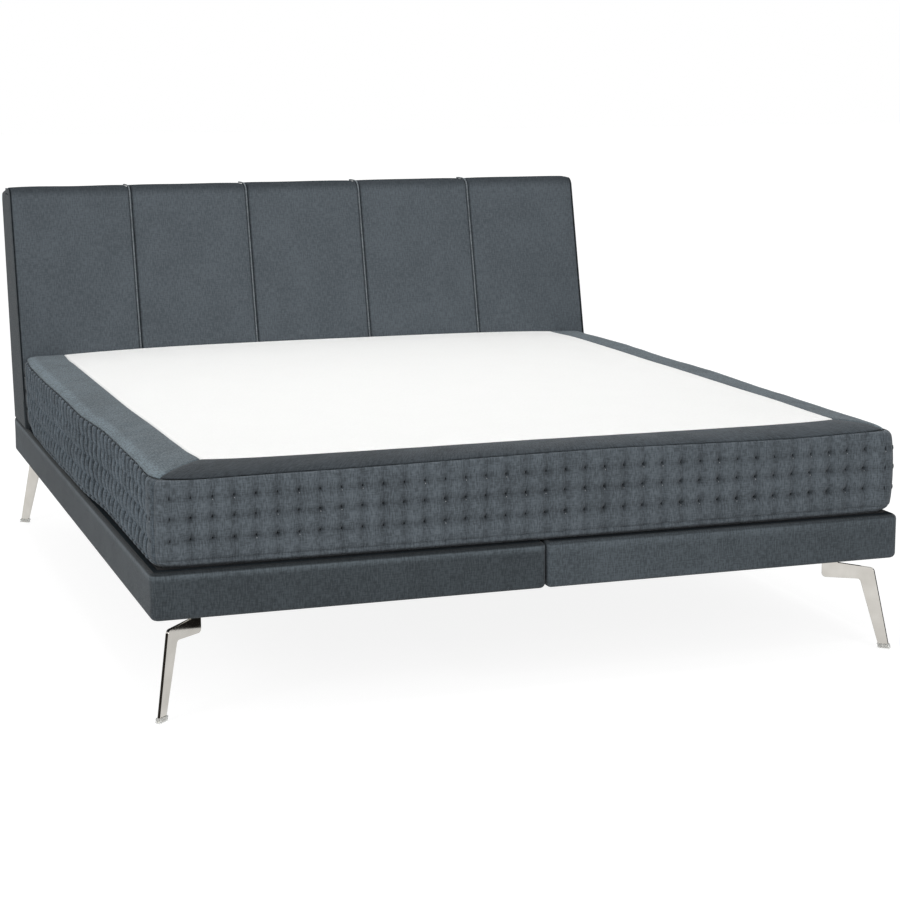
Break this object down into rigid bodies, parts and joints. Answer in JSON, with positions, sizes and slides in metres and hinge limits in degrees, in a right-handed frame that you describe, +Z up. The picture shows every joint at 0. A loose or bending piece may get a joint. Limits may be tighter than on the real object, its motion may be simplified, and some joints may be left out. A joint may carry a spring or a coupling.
{
  "type": "box spring bed",
  "caption": "Low double box spring bed: upholstered plinths on splayed blade legs, a loose box with a tufted border and white top, and a padded headboard leaning back.",
  "frame": {"origin": "on the floor, under the middle of the bed's overall width and length", "axes": "+X across the bed to the right of someone lying in it face up with the head at +Y, +Y from the foot end to the headboard, +Z up"},
  "size_m": [1.84, 2.3174, 1.0573],
  "materials": {
    "plinth_cloth": "dark slate woven cloth",
    "box_cloth": "slate woven cloth with upright slubs",
    "headboard_cloth": "slate woven cloth",
    "piping_cloth": "slate woven piping",
    "white_cloth": "plain white ticking",
    "black_cloth": "black spunbonded dust cloth",
    "felt": "spunbonded spring pockets",
    "foam": "open-cell foam",
    "timber": "planed softwood",
    "plywood": "plywood",
    "chrome": "polished",
    "steel": "zinc plated",
    "black_steel": "black powder coat",
    "clear_plastic": "pale translucent plastic"
  },
  "bodies": {
    "base": {"plinth_cover_left": "plinth_cloth", "plinth_cover_right": "plinth_cloth", "plinth_dust_cover_left": "black_cloth", "plinth_dust_cover_right": "black_cloth", "plinth_outer_rail_left": "timber", "plinth_outer_rail_right": "timber", "plinth_inner_rail_left": "timber", "plinth_inner_rail_right": "timber", "plinth_foot_rail_left": "timber", "plinth_foot_rail_right": "timber", "plinth_head_rail_left": "timber", "plinth_head_rail_right": "timber", "leg_block_left": "timber", "leg_block_right": "timber", "headboard_base_rail": "timber", "headboard_top_rail": "timber", "plinth_top_board_left": "plywood", "plinth_top_board_right": "plywood", "headboard_board": "plywood", "link_bolt_foot": "steel", "link_bolt_head": "steel", "headboard_bolt_left": "steel", "headboard_bolt_right": "steel", "leg_foot_left": "chrome", "leg_foot_right": "chrome", "leg_head_left": "chrome", "leg_head_right": "chrome", "glide_foot_left": "clear_plastic", "glide_foot_right": "clear_plastic", "glide_head_left": "clear_plastic", "glide_head_right": "clear_plastic", "middle_support_left": "black_steel", "middle_support_right": "black_steel", "headboard_cover": "headboard_cloth", "headboard_cushion_1": "headboard_cloth", "headboard_cushion_2": "headboard_cloth", "headboard_cushion_3": "headboard_cloth", "headboard_cushion_4": "headboard_cloth", "headboard_cushion_5": "headboard_cloth", "headboard_piping_1": "piping_cloth", "headboard_piping_2": "piping_cloth", "headboard_piping_3": "piping_cloth", "headboard_piping_4": "piping_cloth"},
    "upper_box": {"box_bottom_cloth": "black_cloth", "box_side_rail_left": "timber", "box_side_rail_right": "timber", "box_foot_rail": "timber", "box_head_rail": "timber", "box_base_board": "plywood", "pocket_spring_unit": "felt", "comfort_layer": "foam", "box_border_foot": "box_cloth", "box_border_right": "box_cloth", "box_border_head": "box_cloth", "box_border_left": "box_cloth", "box_rim_foot": "box_cloth", "box_rim_right": "box_cloth", "box_rim_left": "box_cloth", "box_top_panel": "white_cloth"}
  },
  "joints": [
    {"name": "upper_box_lift", "type": "slide", "parent": "base", "child": "upper_box", "axis": [0, 0, 1], "range_m": [0, 0.3]}
  ]
}
